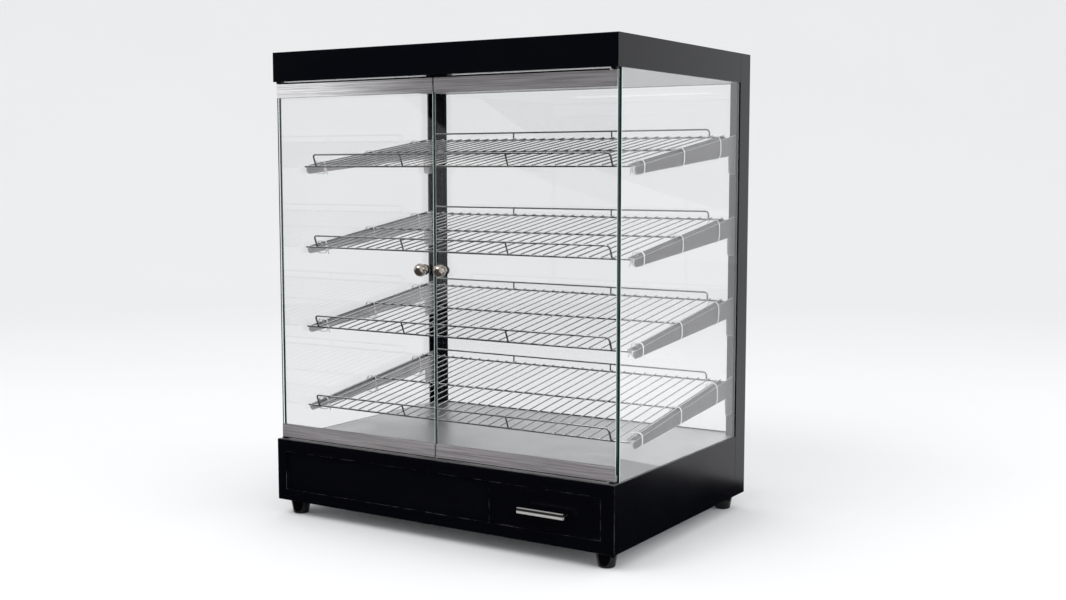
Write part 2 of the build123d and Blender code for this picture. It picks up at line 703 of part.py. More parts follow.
def door_knob(side):
    """Ball knob turned in one piece with its neck and foot, with the screw and washer behind."""
    x = side * KNOB_X
    face = DOOR_Y - GLASS_T / 2
    rear = DOOR_Y + GLASS_T / 2
    centre = face - 13
    with BuildPart() as knob:
        with BuildSketch(Plane.XY.offset(KNOB_Z)):
            with BuildLine():
                neck_r = 4.8
                neck_y = centre + sqrt(KNOB_R**2 - neck_r**2)
                Line((x, centre - KNOB_R), (x, rear + 4.5))
                Line((x, rear + 4.5), (x + 5, rear + 4))
                Line((x + 5, rear + 4), (x + 7, rear + 1.5))
                Line((x + 7, rear + 1.5), (x + 7, rear))
                Line((x + 7, rear), (x + 3.5, rear))
                Line((x + 3.5, rear), (x + 3.5, face))
                Line((x + 3.5, face), (x + 7, face))
                Line((x + 7, face), (x + 7, face - 1.6))
                Line((x + 7, face - 1.6), (x + neck_r, neck_y))
                ThreePointArc((x + neck_r, neck_y), (x + KNOB_R, centre), (x, centre - KNOB_R))
            make_face()
        revolve(axis=Axis((x, 0, KNOB_Z), (0, 1, 0)))
    return knob.part


for side, hand in ((-1, "left"), (1, "right")):
    save(door_glass(side), f"{hand}_door_glass")
    save(bottom_rail(side), f"{hand}_door_bottom_rail")
    save(top_rail(side), f"{hand}_door_top_rail")
    save(door_knob(side), f"{hand}_door_knob")

# Pivot plates on the deck and under the cap, each with the pin that its rail turns on.
with BuildPart() as door_pivots:
    for side in (-1, 1):
        x = side * PIVOT_X
        plate_front, plate_back = DOOR_Y - 4.5, DOOR_Y + 4.5
        lower_top = RAIL_BOTTOM_Z - 0.2
        left, right = x - PIVOT_PLATE_W / 2, x + PIVOT_PLATE_W / 2
        block((left, plate_front, DECK_TOP), (right, plate_back, lower_top))
        rod((x, DOOR_Y, lower_top - 0.5), (x, DOOR_Y, RAIL_BOTTOM_Z + PIN_IN_RAIL), PIN_R)
        upper_low = RAIL_TOP_Z + 0.8
        block((left, plate_front, upper_low), (right, plate_back, CAP_BOTTOM))
        rod((x, DOOR_Y, RAIL_TOP_Z - PIN_IN_RAIL), (x, DOOR_Y, upper_low + 0.5), PIN_R)
save(door_pivots.part, "door_pivots")

with BuildPart() as magnet_catch:
    catch_front = DOOR_Y + RAIL_T / 2 + 0.5
    block((-20, catch_front, CAP_BOTTOM - 22), (20, catch_front + 16, CAP_BOTTOM))
    fillet(magnet_catch.edges().filter_by(Axis.Z), 1.5)
    for x in (-10, 10):
        # seat of one magnet
        seat_low = (x - 5, catch_front, CAP_BOTTOM - 19)
        block(seat_low, (x + 5, catch_front + 1, CAP_BOTTOM - 9), Mode.SUBTRACT)
save(magnet_catch.part, "magnet_catch")

# ======================================================================================
# Drawer
# ======================================================================================

DRAWER_LEFT = DIVIDER_X + DIVIDER_T + DRAWER_GAP
DRAWER_RIGHT = BAY_RIGHT - DRAWER_GAP
DRAWER_LOW = BAY_LOW + DRAWER_GAP
DRAWER_HIGH = BAY_HIGH - DRAWER_GAP
DRAWER_FACE = BASE_FRONT + DRAWER_INSET
FRONT_RETURN = 5

with BuildPart() as drawer_front:
    return_back = DRAWER_FACE + FRONT_RETURN
    block((DRAWER_LEFT, DRAWER_FACE, DRAWER_LOW), (DRAWER_RIGHT, return_back, DRAWER_HIGH))
    fillet(drawer_front.faces().sort_by(Axis.Y)[0].edges(), 0.8)
    inside_a = (DRAWER_LEFT + SHEET, DRAWER_FACE + SHEET, DRAWER_LOW + SHEET)
    inside_b = (DRAWER_RIGHT - SHEET, return_back + 1, DRAWER_HIGH - SHEET)
    block(inside_a, inside_b, Mode.SUBTRACT)
    for x in (HANDLE_X - HANDLE_CENTRES / 2, HANDLE_X + HANDLE_CENTRES / 2):
        rod((x, DRAWER_FACE - 1, HANDLE_Z), (x, DRAWER_FACE + 3, HANDLE_Z), 2.1, Mode.SUBTRACT)
save(drawer_front.part, "drawer_front")

TRAY_WALL = 0.8
TRAY_LEFT, TRAY_RIGHT = DRAWER_LEFT + 14, DRAWER_RIGHT - 8
TRAY_FRONT = DRAWER_FACE + SHEET
TRAY_BACK = TRAY_FRONT + DRAWER_DEPTH
TRAY_LOW, TRAY_HIGH = DRAWER_LOW + 5, DRAWER_HIGH - 7

with BuildPart() as drawer_tray:
    block((TRAY_LEFT, TRAY_FRONT, TRAY_LOW), (TRAY_RIGHT, TRAY_BACK, TRAY_HIGH))
    tray_in = (TRAY_LEFT + TRAY_WALL, TRAY_FRONT + TRAY_WALL, TRAY_LOW + TRAY_WALL)
    tray_out = (TRAY_RIGHT - TRAY_WALL, TRAY_BACK - TRAY_WALL, TRAY_HIGH + 1)
    block(tray_in, tray_out, Mode.SUBTRACT)
    for x in (HANDLE_X - HANDLE_CENTRES / 2, HANDLE_X + HANDLE_CENTRES / 2):
        rod((x, TRAY_FRONT - 1, HANDLE_Z), (x, TRAY_FRONT + 2, HANDLE_Z), 2.1, Mode.SUBTRACT)
save(drawer_tray.part, "drawer_tray")

with BuildPart() as drawer_handle:
    grip_front = BASE_FRONT - HANDLE_PROUD
    grip_back = grip_front + HANDLE_T
    grip_left, grip_right = HANDLE_X - HANDLE_LENGTH / 2, HANDLE_X + HANDLE_LENGTH / 2
    grip_low, grip_high = HANDLE_Z - HANDLE_H / 2, HANDLE_Z + HANDLE_H / 2
    block((grip_left, grip_front, grip_low), (grip_right, grip_back, grip_high))
    fillet(drawer_handle.edges().filter_by(Axis.X), 2)
    for x in (HANDLE_X - HANDLE_CENTRES / 2, HANDLE_X + HANDLE_CENTRES / 2):
        rod((x, grip_back - 1, HANDLE_Z), (x, DRAWER_FACE, HANDLE_Z), HANDLE_POST_R)
        # the screw that holds the post runs through the drawer front and the tray
        rod((x, DRAWER_FACE - 1, HANDLE_Z), (x, TRAY_FRONT + TRAY_WALL, HANDLE_Z), 2)
        rod((x, TRAY_FRONT + TRAY_WALL, HANDLE_Z), (x, TRAY_FRONT + TRAY_WALL + 2.4, HANDLE_Z), 4)
save(drawer_handle.part, "drawer_handle")

SLIDE_Z = (TRAY_LOW + TRAY_HIGH) / 2
SLIDE_H = 12
RUNNER_H = 18
RUNNER_GAP = 0.6
SLIDE_T = 1.5
RUNNER_T = 1.5

# The slides are screwed to the tray, and each runs in a fixed C-shaped runner.
with BuildPart() as drawer_slides:
    slide_front, slide_back = TRAY_FRONT + 16, TRAY_BACK - 2
    for wall, side in ((TRAY_LEFT, -1), (TRAY_RIGHT, 1)):
        far = wall + side * 4.5
        near_low, near_high = SLIDE_Z - SLIDE_H / 2, SLIDE_Z + SLIDE_H / 2
        block((wall, slide_front, near_low), (wall + side * SLIDE_T, slide_back, near_high))
        block((wall, slide_front, near_low), (far, slide_back, near_low + SLIDE_T))
        block((wall, slide_front, near_high - SLIDE_T), (far, slide_back, near_high))
save(drawer_slides.part, "drawer_slides")

with BuildPart() as drawer_runners:
    runner_front, runner_back = TRAY_FRONT + 16, TRAY_BACK + 20
    for wall, side in ((TRAY_LEFT, -1), (TRAY_RIGHT, 1)):
        lip = wall + side * (SLIDE_T + 0.7)
        back_in = wall + side * (4.5 + RUNNER_GAP)
        back_out = back_in + side * RUNNER_T
        low, high = SLIDE_Z - RUNNER_H / 2, SLIDE_Z + RUNNER_H / 2
        arm_t = RUNNER_H / 2 - SLIDE_H / 2 - RUNNER_GAP
        web_low = FOOT_H + SHEET if side < 0 else low
        block((back_in, runner_front, web_low), (back_out, runner_back, high))
        block((lip, runner_front, low), (back_in, runner_back, low + arm_t))
        block((lip, runner_front, high - arm_t), (back_in, runner_back, high))
        if side < 0:
            # the inner runner stands on the pan
            foot_end = back_out - 14
            block((back_out, runner_front, web_low), (foot_end, runner_back, web_low + RUNNER_T))
        else:
            # the outer runner is carried by the side sheet
            block((back_out, runner_front, high - RUNNER_T), (SIDE_INNER, runner_back, high))
save(drawer_runners.part, "drawer_runners")

# ======================================================================================
# Heating and electrical pieces
# ======================================================================================

ELEMENT_R = 4
ELEMENT_Z = DECK_LOW - 1.2 - ELEMENT_R
ELEMENT_LEGS = 6
LEG_PITCH = 56
LEG_FRONT, LEG_BACK = FRONT + 60, FRONT + 385


def element_route():
    """Corners of the serpentine heating tube, from one terminal to the other."""
    first_x = -LEG_PITCH * (ELEMENT_LEGS - 1) / 2
    corners = [(first_x, LEG_BACK + 35, ELEMENT_Z)]
    for leg in range(ELEMENT_LEGS):
        x = first_x + leg * LEG_PITCH
        entering = LEG_BACK if leg % 2 == 0 else LEG_FRONT
        leaving = LEG_FRONT if leg % 2 == 0 else LEG_BACK
        if leg > 0:
            corners.append((x, entering, ELEMENT_Z))
        if leg < ELEMENT_LEGS - 1:
            corners.append((x, leaving, ELEMENT_Z))
    corners.append((first_x + (ELEMENT_LEGS - 1) * LEG_PITCH, LEG_BACK + 35, ELEMENT_Z))
    return corners


with BuildPart() as heating_element:
    bent_wire(element_route(), ELEMENT_R, LEG_PITCH / 2 - 2)
    for x in (-LEG_PITCH * (ELEMENT_LEGS - 1) / 2, LEG_PITCH * (ELEMENT_LEGS - 1) / 2):
        rod((x, LEG_BACK + 34, ELEMENT_Z), (x, LEG_BACK + 46, ELEMENT_Z), 1.5)
save(heating_element.part, "heating_element")

with BuildPart() as element_clips:
    for leg in range(ELEMENT_LEGS):
        x = (leg - (ELEMENT_LEGS - 1) / 2) * LEG_PITCH
        y = (LEG_FRONT + LEG_BACK) / 2
        clip_low = ELEMENT_Z - ELEMENT_R - 1.5
        block((x - 7, y - 6, clip_low), (x + 7, y + 6, DECK_LOW))
        rod((x, y - 8, ELEMENT_Z), (x, y + 8, ELEMENT_Z), ELEMENT_R + 0.1, Mode.SUBTRACT)
save(element_clips.part, "element_clips")

SHIELD_Z = BASE_TOP - 18
SHIELD_T = 0.8

with BuildPart() as heat_shield:
    shield_front, shield_back = FRONT + 20, FRONT + 425
    ledge_in = SIDE_INNER - 12
    ledge_under = GLASS_LEDGE_Z - SHEET
    wall = ledge_in - 1.5
    block((-wall, shield_front, SHIELD_Z), (wall, shield_back, SHIELD_Z + SHIELD_T))
    for side in (-1, 1):
        inner = side * (wall - SHIELD_T)
        block((inner, shield_front, SHIELD_Z), (side * wall, shield_back, ledge_under))
        lip_end = side * (ledge_in + 4)
        block((inner, shield_front, ledge_under - SHIELD_T), (lip_end, shield_back, ledge_under))
save(heat_shield.part, "heat_shield")

PANEL_BACK = PANEL_Y + SHEET

with BuildPart() as thermostat:
    block((DIAL_X - 18, PANEL_Y - 32, CONTROL_Z - 18), (DIAL_X + 18, PANEL_Y - 8, CONTROL_Z + 18))
    rod((DIAL_X, PANEL_Y - 10, CONTROL_Z), (DIAL_X, PANEL_Y, CONTROL_Z), 7)
    rod((DIAL_X, PANEL_Y - 1, CONTROL_Z), (DIAL_X, PANEL_BACK + 11, CONTROL_Z), 3)
save(thermostat.part, "thermostat")

BULB_Z = ELEMENT_Z
BULB_X = DIAL_X + 40

with BuildPart() as thermostat_bulb:
    bulb_y = FRONT + 330
    turn_y = FRONT + 432
    entry_z = CONTROL_Z + 9
    rod((BULB_X, bulb_y - 50, BULB_Z), (BULB_X, bulb_y + 30, BULB_Z), 3)
    route = [
        (BULB_X, bulb_y + 29, BULB_Z),
        (BULB_X, turn_y, BULB_Z),
        (BULB_X, turn_y, entry_z),
        (DIAL_X + 18, turn_y, entry_z),
    ]
    bent_wire(route, 0.9, 8)
save(thermostat_bulb.part, "thermostat_bulb")

DIAL_R = 17
DIAL_H = 15

# The dial has a fluted skirt, a raised grip bar and a blind bore on the thermostat's shaft.
with BuildPart() as thermostat_dial:
    dial_near = PANEL_BACK + 1
    with BuildSketch(Plane.XZ.offset(-dial_near)):
        with Locations((DIAL_X, CONTROL_Z)):
            Circle(DIAL_R)
            with PolarLocations(DIAL_R + 0.9, 24):
                Circle(1.5, mode=Mode.SUBTRACT)
    extrude(amount=-6)
    with BuildSketch(Plane.XZ.offset(-(dial_near + 6))):
        with Locations((DIAL_X, CONTROL_Z)):
            Circle(12)
    extrude(amount=-(DIAL_H - 6), taper=6)
    fillet(thermostat_dial.faces().sort_by(Axis.Y)[-1].edges(), 1.2)
    notch_y = dial_near + DIAL_H
    notch_low = (DIAL_X - 0.8, notch_y - 1, CONTROL_Z + 2)
    block(notch_low, (DIAL_X + 0.8, notch_y, CONTROL_Z + 13), Mode.SUBTRACT)
    bore_end = PANEL_BACK + 11.6
    rod((DIAL_X, dial_near - 1, CONTROL_Z), (DIAL_X, bore_end, CONTROL_Z), 3.05, Mode.SUBTRACT)
save(thermostat_dial.part, "thermostat_dial")

SWITCH_FACE = PANEL_BACK + 2
ROCKER_PIVOT_Y = SWITCH_FACE - 4
ROCKER_PIN_R = 1.5
ROCKER_PIN_END = 8.4

with BuildPart() as power_switch:
    bezel_a = (SWITCH_X - 15.5, PANEL_BACK, CONTROL_Z - 11)
    block(bezel_a, (SWITCH_X + 15.5, SWITCH_FACE, CONTROL_Z + 11))
    fillet(power_switch.faces().sort_by(Axis.Y)[-1].edges(), 0.8)
    block((SWITCH_X - 13.5, PANEL_Y - 20, CONTROL_Z - 9), (SWITCH_X + 13.5, PANEL_BACK, CONTROL_Z + 9))
    well_a = (SWITCH_X - 12.2, SWITCH_FACE - 9.5, CONTROL_Z - 7.4)
    block(well_a, (SWITCH_X + 12.2, SWITCH_FACE + 1, CONTROL_Z + 7.4), Mode.SUBTRACT)
    for x in (SWITCH_X - 7, SWITCH_X, SWITCH_X + 7):
        tag_a = (x - 2.4, PANEL_Y - 28, CONTROL_Z - 0.4)
        block(tag_a, (x + 2.4, PANEL_Y - 20, CONTROL_Z + 0.4))
    pivot_low = (SWITCH_X, ROCKER_PIVOT_Y, CONTROL_Z - ROCKER_PIN_END - 0.2)
    pivot_high = (SWITCH_X, ROCKER_PIVOT_Y, CONTROL_Z + ROCKER_PIN_END + 0.2)
    rod(pivot_low, pivot_high, ROCKER_PIN_R + 0.05, Mode.SUBTRACT)
save(power_switch.part, "power_switch")

# The rocker's face is a shallow V. It rests tilted to its off side.
with BuildPart() as power_rocker:
    with BuildSketch(Plane.XY.offset(CONTROL_Z - 7)):
        with Locations(Location((SWITCH_X, ROCKER_PIVOT_Y, 0), (0, 0, ROCKER_TILT))):
            Polygon((-11, -3), (11, -3), (11, 5.6), (0, 4.2), (-11, 5.6), align=None)
    extrude(amount=14)
    pin_low = (SWITCH_X, ROCKER_PIVOT_Y, CONTROL_Z - ROCKER_PIN_END)
    rod(pin_low, (SWITCH_X, ROCKER_PIVOT_Y, CONTROL_Z + ROCKER_PIN_END), ROCKER_PIN_R)
save(power_rocker.part, "power_rocker")

with BuildPart() as pilot_lamp:
    rod((PILOT_X, PANEL_BACK, CONTROL_Z), (PILOT_X, PANEL_BACK + 2, CONTROL_Z), 7)
    with BuildSketch(Plane.XZ.offset(-(PANEL_BACK + 2))):
        with Locations((PILOT_X, CONTROL_Z)):
            Circle(5)
    extrude(amount=-4, taper=15)
    fillet(pilot_lamp.faces().sort_by(Axis.Y)[-1].edges(), 1.2)
    rod((PILOT_X, PANEL_Y - 18, CONTROL_Z), (PILOT_X, PANEL_BACK, CONTROL_Z), 5)
save(pilot_lamp.part, "pilot_lamp")

GLAND_BORE = 4.5

with BuildPart() as cable_gland:
    with BuildSketch(Plane.XZ.offset(-PANEL_BACK)):
        with Locations((GLAND_X, CONTROL_Z)):
            RegularPolygon(12, 6)
    extrude(amount=-5)
    rod((GLAND_X, PANEL_BACK + 5, CONTROL_Z), (GLAND_X, PANEL_BACK + 16, CONTROL_Z), 9.5)
    fillet(cable_gland.faces().sort_by(Axis.Y)[-1].edges(), 2)
    rod((GLAND_X, PANEL_Y - 10, CONTROL_Z), (GLAND_X, PANEL_BACK, CONTROL_Z), 8)
    with BuildSketch(Plane.XZ.offset(-(PANEL_Y - 5))):
        with Locations((GLAND_X, CONTROL_Z)):
            RegularPolygon(12, 6)
    extrude(amount=-5)
    gland_end = PANEL_BACK + 17
    rod((GLAND_X, PANEL_Y - 11, CONTROL_Z), (GLAND_X, gland_end, CONTROL_Z), GLAND_BORE, Mode.SUBTRACT)
save(cable_gland.part, "cable_gland")

with BuildPart() as terminal_block:
    block_y = FRONT + 395
    body_top = FOOT_H + 14
    wire_z = FOOT_H + 11
    block((205, block_y, FOOT_H + SHEET), (257, block_y + 20, body_top))
    for k in range(3):
        pole_x = 214 + 17 * k
        pole_y = block_y + 10
        block((pole_x - 6.5, block_y + 4, body_top), (pole_x + 6.5, block_y + 16, body_top + 8))
        rod((pole_x, block_y - 1, wire_z), (pole_x, block_y + 21, wire_z), 2, Mode.SUBTRACT)
        rod((pole_x, pole_y, body_top + 1), (pole_x, pole_y, body_top + 9), 2.6, Mode.SUBTRACT)
save(terminal_block.part, "terminal_block")

SCREW_PLACES = [(x, z) for x in (-295, -30, 190, 300) for z in (FOOT_H + 14, BASE_TOP - 18)]

with BuildPart() as panel_screws:
    for x, z in SCREW_PLACES:
        with BuildSketch(Plane.XZ.offset(-PANEL_BACK)):
            with Locations((x, z)):
                Circle(3.6)
        extrude(amount=-2.2)
    fillet(panel_screws.faces().sort_by(Axis.Y)[-len(SCREW_PLACES):].edges(), 1.2)
    for x, z in SCREW_PLACES:
        slot_y = PANEL_BACK + 1.3
        block((x - 2, slot_y, z - 0.4), (x + 2, slot_y + 1, z + 0.4), Mode.SUBTRACT)
        block((x - 0.4, slot_y, z - 2), (x + 0.4, slot_y + 1, z + 2), Mode.SUBTRACT)
save(panel_screws.part, "panel_screws")
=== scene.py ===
import json
from math import cos, pi, radians, sin, tan

import bmesh
import bpy
from mathutils import Matrix, Vector


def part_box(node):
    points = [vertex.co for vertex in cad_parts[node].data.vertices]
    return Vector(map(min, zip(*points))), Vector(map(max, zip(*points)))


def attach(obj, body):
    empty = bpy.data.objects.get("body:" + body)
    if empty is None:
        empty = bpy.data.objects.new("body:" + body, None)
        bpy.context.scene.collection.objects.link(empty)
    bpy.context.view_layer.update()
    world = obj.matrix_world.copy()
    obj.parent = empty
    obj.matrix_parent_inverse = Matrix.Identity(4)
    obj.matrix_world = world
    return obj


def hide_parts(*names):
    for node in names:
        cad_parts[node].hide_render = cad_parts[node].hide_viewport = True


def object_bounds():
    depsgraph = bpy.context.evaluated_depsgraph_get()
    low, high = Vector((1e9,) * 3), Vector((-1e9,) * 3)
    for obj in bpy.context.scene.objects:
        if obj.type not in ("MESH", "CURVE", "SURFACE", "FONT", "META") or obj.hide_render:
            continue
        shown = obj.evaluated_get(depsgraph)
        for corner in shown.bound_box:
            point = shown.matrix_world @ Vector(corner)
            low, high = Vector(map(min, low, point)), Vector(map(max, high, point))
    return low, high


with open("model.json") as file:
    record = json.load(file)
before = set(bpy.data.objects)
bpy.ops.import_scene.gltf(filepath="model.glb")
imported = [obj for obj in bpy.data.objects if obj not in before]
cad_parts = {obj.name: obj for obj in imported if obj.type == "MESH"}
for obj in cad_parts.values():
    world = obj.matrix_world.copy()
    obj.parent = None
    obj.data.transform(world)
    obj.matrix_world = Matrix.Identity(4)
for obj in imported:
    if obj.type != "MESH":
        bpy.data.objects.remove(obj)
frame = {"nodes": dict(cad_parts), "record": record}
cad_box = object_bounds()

NODES = frame["nodes"]


# ---------------------------------------------------------------- material helpers
class Shader:
    """A node material with a Principled shader, patterned in the object's own coordinates."""

    def __init__(self, name, color, rough, metallic=0.0, ior=1.5, specular=0.5):
        self.mat = bpy.data.materials.new(name)
        self.mat.use_nodes = True
        self.tree = self.mat.node_tree
        self.bsdf = self.tree.nodes["Principled BSDF"]
        self.out = self.tree.nodes["Material Output"]
        self.color = color
        self.set("Base Color", (*color, 1))
        self.set("Roughness", rough)
        self.set("Metallic", metallic)
        self.set("IOR", ior)
        self.set("Specular IOR Level", specular)
        self.coord = self.tree.nodes.new("ShaderNodeTexCoord")
        self.bump = None

    def set(self, socket, value):
        self.bsdf.inputs[socket].default_value = value

    def node(self, kind, **values):
        n = self.tree.nodes.new(kind)
        for key, value in values.items():
            setattr(n, key, value)
        return n

    def link(self, a, b):
        self.tree.links.new(a, b)

    def noise(self, scale, stretch=(1, 1, 1), detail=3.0, rough=0.55, distortion=0.0):
        """Noise over the object, in metres; stretch is how fast it changes along each axis."""
        mapping = self.node("ShaderNodeMapping")
        mapping.inputs["Scale"].default_value = stretch
        self.link(self.coord.outputs["Object"], mapping.inputs["Vector"])
        tex = self.node("ShaderNodeTexNoise")
        tex.inputs["Scale"].default_value = scale
        tex.inputs["Detail"].default_value = detail
        tex.inputs["Roughness"].default_value = rough
        tex.inputs["Distortion"].default_value = distortion
        self.link(mapping.outputs["Vector"], tex.inputs["Vector"])
        return tex.outputs["Fac"]

    def ramp(self, fac, low, high, a=0.3, b=0.7):
        """Maps a to low and b to high, smoothly, within those limits."""
        m = self.node("ShaderNodeMapRange", interpolation_type="SMOOTHSTEP")
        self.link(fac, m.inputs["Value"])
        for socket, value in zip(("From Min", "From Max", "To Min", "To Max"), (a, b, low, high)):
            m.inputs[socket].default_value = value
        return m.outputs["Result"]

    def mix(self, fac, a, b, blend="MIX"):
        """Mix of two colours, each a tuple or a socket."""
        m = self.node("ShaderNodeMix", data_type="RGBA", blend_type=blend)
        if isinstance(fac, float):
            m.inputs[0].default_value = fac
        else:
            self.link(fac, m.inputs[0])
        for socket, value in ((m.inputs[6], a), (m.inputs[7], b)):
            if isinstance(value, tuple):
                socket.default_value = (*value[:3], 1)
            else:
                self.link(value, socket)
        return m.outputs[2]

    def math(self, operation, a, b=0.0):
        m = self.node("ShaderNodeMath", operation=operation)
        for socket, value in zip(m.inputs, (a, b)):
            if isinstance(value, (int, float)):
                socket.default_value = value
            else:
                self.link(value, socket)
        return m.outputs[0]

    def tint(self, fac, spread):
        """Colour that drifts by spread around the base colour."""
        dark = tuple(c * (1 - spread) for c in self.color)
        light = tuple(min(1.0, c * (1 + spread)) for c in self.color)
        return self.mix(fac, dark, light)

    def roughness(self, fac, low, high, a=0.3, b=0.7):
        self.link(self.ramp(fac, low, high, a, b), self.bsdf.inputs["Roughness"])

    def relief(self, height, distance, strength=1.0):
        bump = self.node("ShaderNodeBump")
        bump.inputs["Distance"].default_value = distance
        bump.inputs["Strength"].default_value = strength
        self.link(height, bump.inputs["Height"])
        if self.bump is not None:
            self.link(self.bump.outputs["Normal"], bump.inputs["Normal"])
        self.link(bump.outputs["Normal"], self.bsdf.inputs["Normal"])
        self.bump = bump

    def round_edges(self, radius):
        """Lets sheet edges catch the light as if they were rounded."""
        bevel = self.node("ShaderNodeBevel", samples=4)
        bevel.inputs["Radius"].default_value = radius
        self.link(bevel.outputs["Normal"], self.bump.inputs["Normal"])

    def up(self):
        """The upward part of the surface direction, from -1 to 1."""
        normal = self.node("ShaderNodeSeparateXYZ")
        self.link(self.coord.outputs["Normal"], normal.inputs[0])
        return normal.outputs[2]

    def along(self, axis, start, end):
        """0 at start to 1 at end along one axis of the frame, in metres."""
        place = self.node("ShaderNodeSeparateXYZ")
        self.link(self.coord.outputs["Object"], place.inputs[0])
        return self.ramp(place.outputs[axis], 0.0, 1.0, start, end)

    def edges(self, radius):
        """1 near an outside edge, 0 on the open surface."""
        bevel = self.node("ShaderNodeBevel", samples=4)
        bevel.inputs["Radius"].default_value = radius
        geometry = self.node("ShaderNodeNewGeometry")
        dot = self.node("ShaderNodeVectorMath", operation="DOT_PRODUCT")
        self.link(bevel.outputs["Normal"], dot.inputs[0])
        self.link(geometry.outputs["Normal"], dot.inputs[1])
        return self.ramp(dot.outputs["Value"], 1.0, 0.0, 0.9, 0.995)


def painted(name, color, rough=0.3, wear_and_highlight=0.35, wear_and_highlight_color=(0.1, 0.1, 0.11), specular=0.5, cloudy=0.05):
    """Powder-coated sheet: faint orange peel, slightly uneven gloss, edges lightened a little in patches,
    partly wear and partly a painted highlight.
    """
    s = Shader(name, color, rough, specular=specular)
    s.set("Specular Tint", (0.94, 0.91, 1.0, 1))
    base = s.tint(s.noise(5, detail=4), cloudy)
    # patchy lighter edges: partly rubbed wear, partly a painted highlight along the edges
    rub_and_highlight = s.math("MULTIPLY", s.edges(0.0007), s.ramp(s.noise(60, detail=5), 0.0, wear_and_highlight, 0.45, 0.7))
    s.link(s.mix(rub_and_highlight, base, wear_and_highlight_color), s.bsdf.inputs["Base Color"])
    s.roughness(s.noise(7, detail=5, rough=0.6), rough - 0.02, rough + 0.04)
    s.relief(s.noise(620, detail=1.5), 0.00003, 0.25)
    s.round_edges(0.0005)
    return s.mat


def brushed(name, color, rough, along="X", spread=0.1, fine=850, depth=0.000012, metallic=1.0,
            painted_fade=None, rim=None, painted_band=None):
    """Stainless or plated sheet with a grain along one axis.

    painted_fade is (axis, start, end, gain at the end), a painted reflection along one axis, painted_band is
    (axis, middle, half width, gain), a painted reflection band, and rim is the colour of its rubbed edges."""
    s = Shader(name, color, rough, metallic=metallic)
    long, short = 0.012, 1.0
    stretch = {"X": (long, short, short), "Y": (short, long, short), "Z": (short, short, long)}[along]
    grain = s.noise(fine, stretch, detail=4, rough=0.7)
    cloud = s.noise(14, detail=4)
    base = s.tint(s.ramp(grain, 0.0, 1.0, 0.3, 0.7), spread)
    smear = s.ramp(cloud, 0.0, 0.25, 0.45, 0.75)
    skin = s.mix(smear, base, (0.8, 0.8, 0.8), "MULTIPLY")
    # painted reflection: the colour runs to gain times itself along one axis
    if painted_fade:
        axis, start, end, gain = painted_fade
        skin = s.mix(s.along(axis, start, end), skin, s.mix(1.0, skin, gain, "MULTIPLY"))
    # painted reflection: a band of gain times the colour
    if painted_band:
        axis, middle, half, gain = painted_band
        inside = s.math("MULTIPLY", s.along(axis, middle - half, middle - 0.6 * half),
                        s.along(axis, middle + half, middle + 0.6 * half))
        skin = s.mix(inside, skin, s.mix(1.0, skin, gain, "MULTIPLY"))
    if rim:
        skin = s.mix(s.edges(0.0009), skin, rim)
    s.link(skin, s.bsdf.inputs["Base Color"])
    rough_grain = s.ramp(grain, rough - 0.07, rough + 0.07, 0.3, 0.7)
    rough_all = s.math("ADD", rough_grain, s.ramp(cloud, -0.03, 0.06))
    s.link(rough_all, s.bsdf.inputs["Roughness"])
    s.relief(grain, depth, 0.6)
    return s.mat


def moulded(name, color, rough, spread=0.06, grain=1400, depth=0.00003, specular=0.5):
    """Moulded plastic with a fine eroded texture and uneven gloss."""
    s = Shader(name, color, rough, specular=specular)
    s.link(s.tint(s.noise(30, detail=4), spread), s.bsdf.inputs["Base Color"])
    s.roughness(s.noise(45, detail=5), rough - 0.05, rough + 0.08)
    s.relief(s.noise(grain, detail=2), depth, 0.4)
    return s.mat


def plated_wire(name, top, shaded_flank, rough):
    """Bright plated wire, a little cloudy, with painted light: the tops take the light colour and the flanks
    a painted shade.
    """
    s = Shader(name, top, rough, metallic=1.0)
    cloud = s.noise(60, detail=5)
    # painted light: the colour runs from the dark flank colour on the sides to the light one on top
    facing = s.ramp(s.up(), 0.0, 1.0, 0.1, 0.9)
    body = s.mix(facing, shaded_flank, s.tint(cloud, 0.12))
    s.link(body, s.bsdf.inputs["Base Color"])
    s.roughness(s.noise(180, detail=4), rough - 0.04, rough + 0.1)
    s.relief(s.noise(900, (1, 0.05, 1), detail=2), 0.00002, 0.5)
    return s.mat


